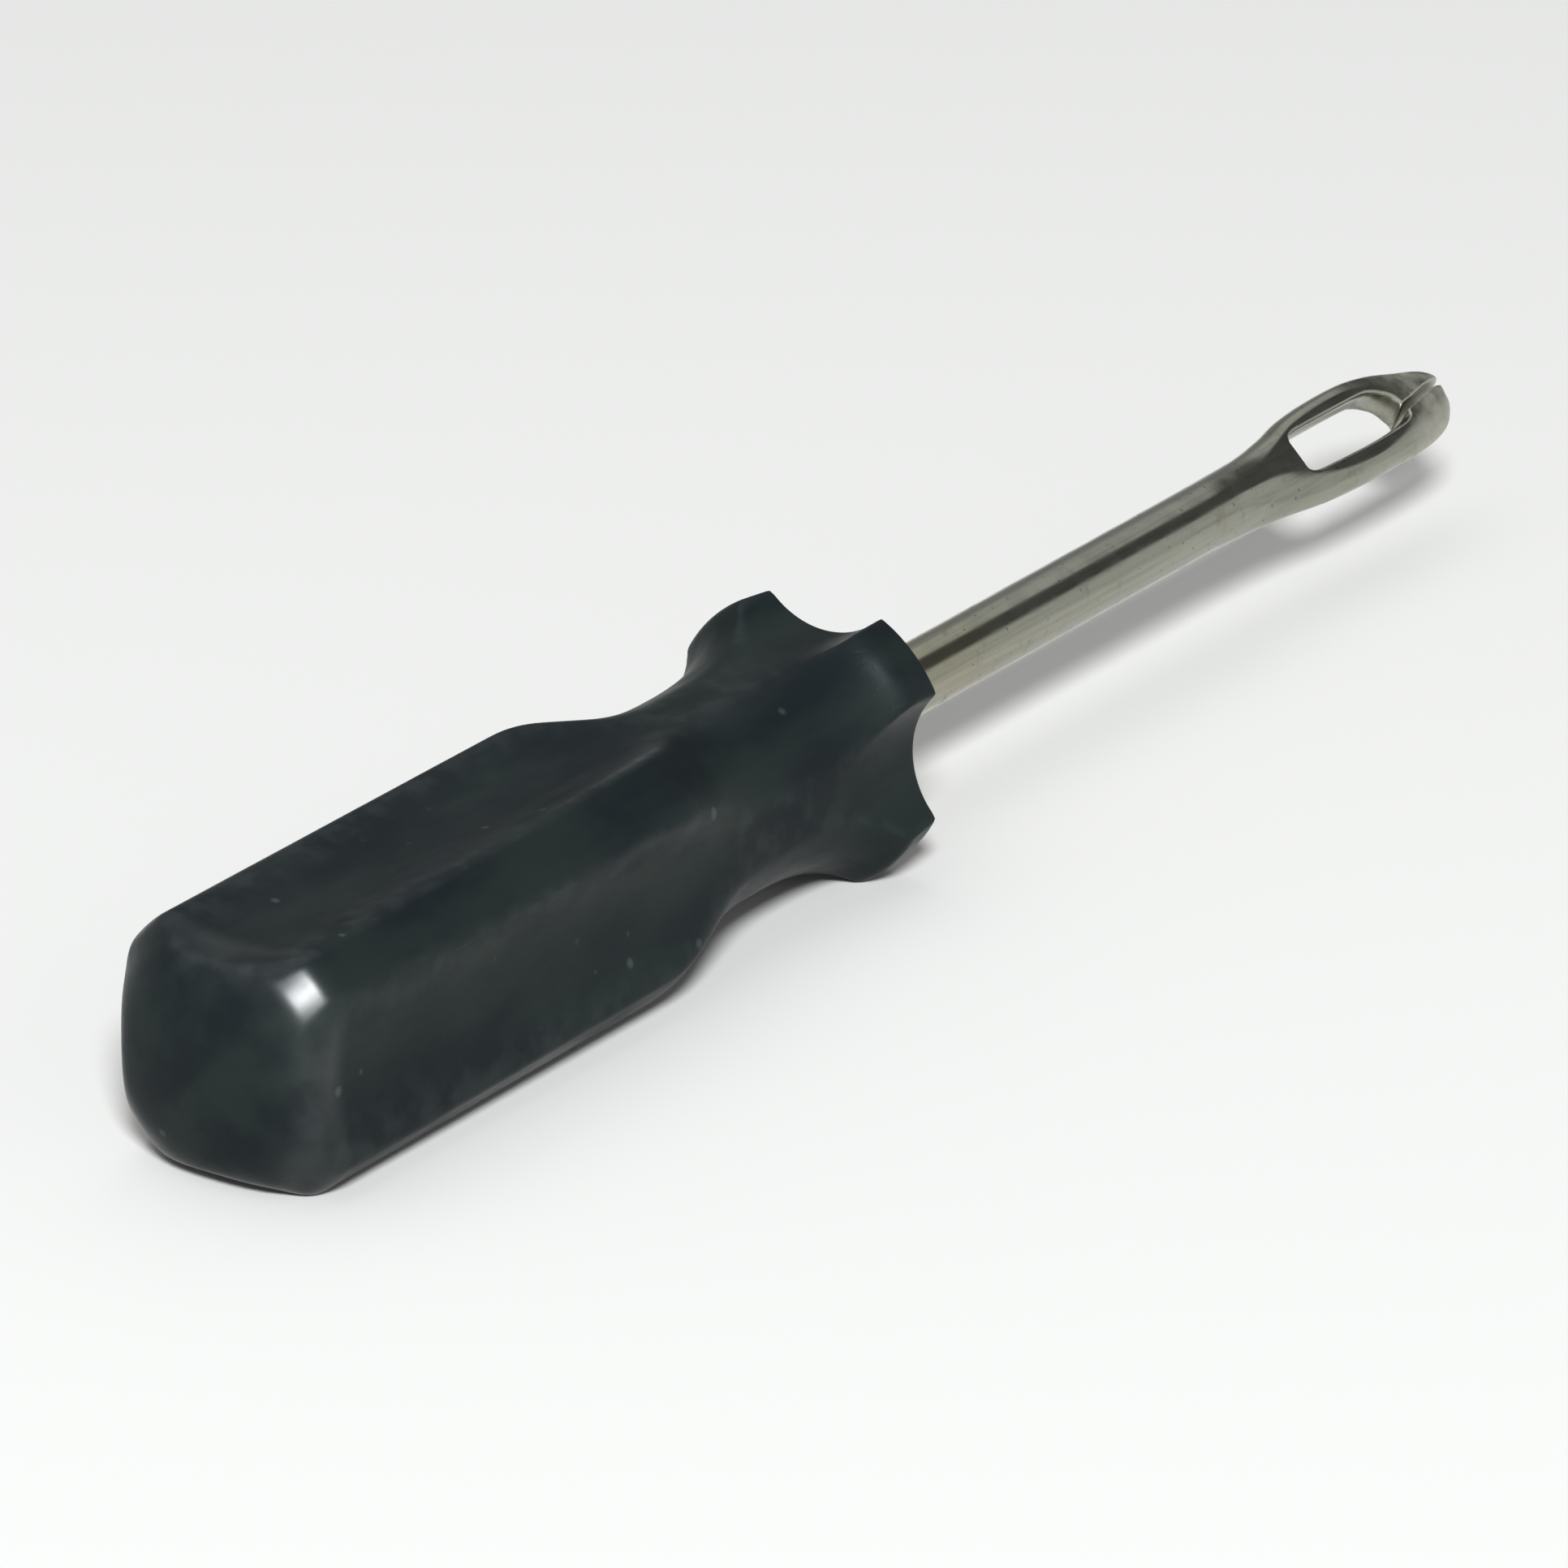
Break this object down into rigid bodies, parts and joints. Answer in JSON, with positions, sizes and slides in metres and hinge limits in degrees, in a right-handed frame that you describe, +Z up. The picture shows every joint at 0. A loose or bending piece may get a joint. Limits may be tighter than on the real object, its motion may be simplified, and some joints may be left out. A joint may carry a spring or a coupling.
{
  "type": "tyre plug insertion tool",
  "caption": "Hand tool with a fluted moulded grip and a steel needle whose split eye carries a tyre plug strip into a puncture.",
  "frame": {"origin": "under the middle of the tool's length, on the surface that it rests on", "axes": "+X along the tool from the butt to the needle tip, +Z up with one flute of the grip facing straight up"},
  "size_m": [0.169, 0.0208, 0.0208],
  "materials": {
    "grip_plastic": "satin moulded plastic, blue-black",
    "plated_steel": "nickel plate over steel, slightly warm, drawn lengthwise"
  },
  "bodies": {
    "root": {"handle": "grip_plastic", "split_eye_needle": "plated_steel"}
  },
  "joints": []
}
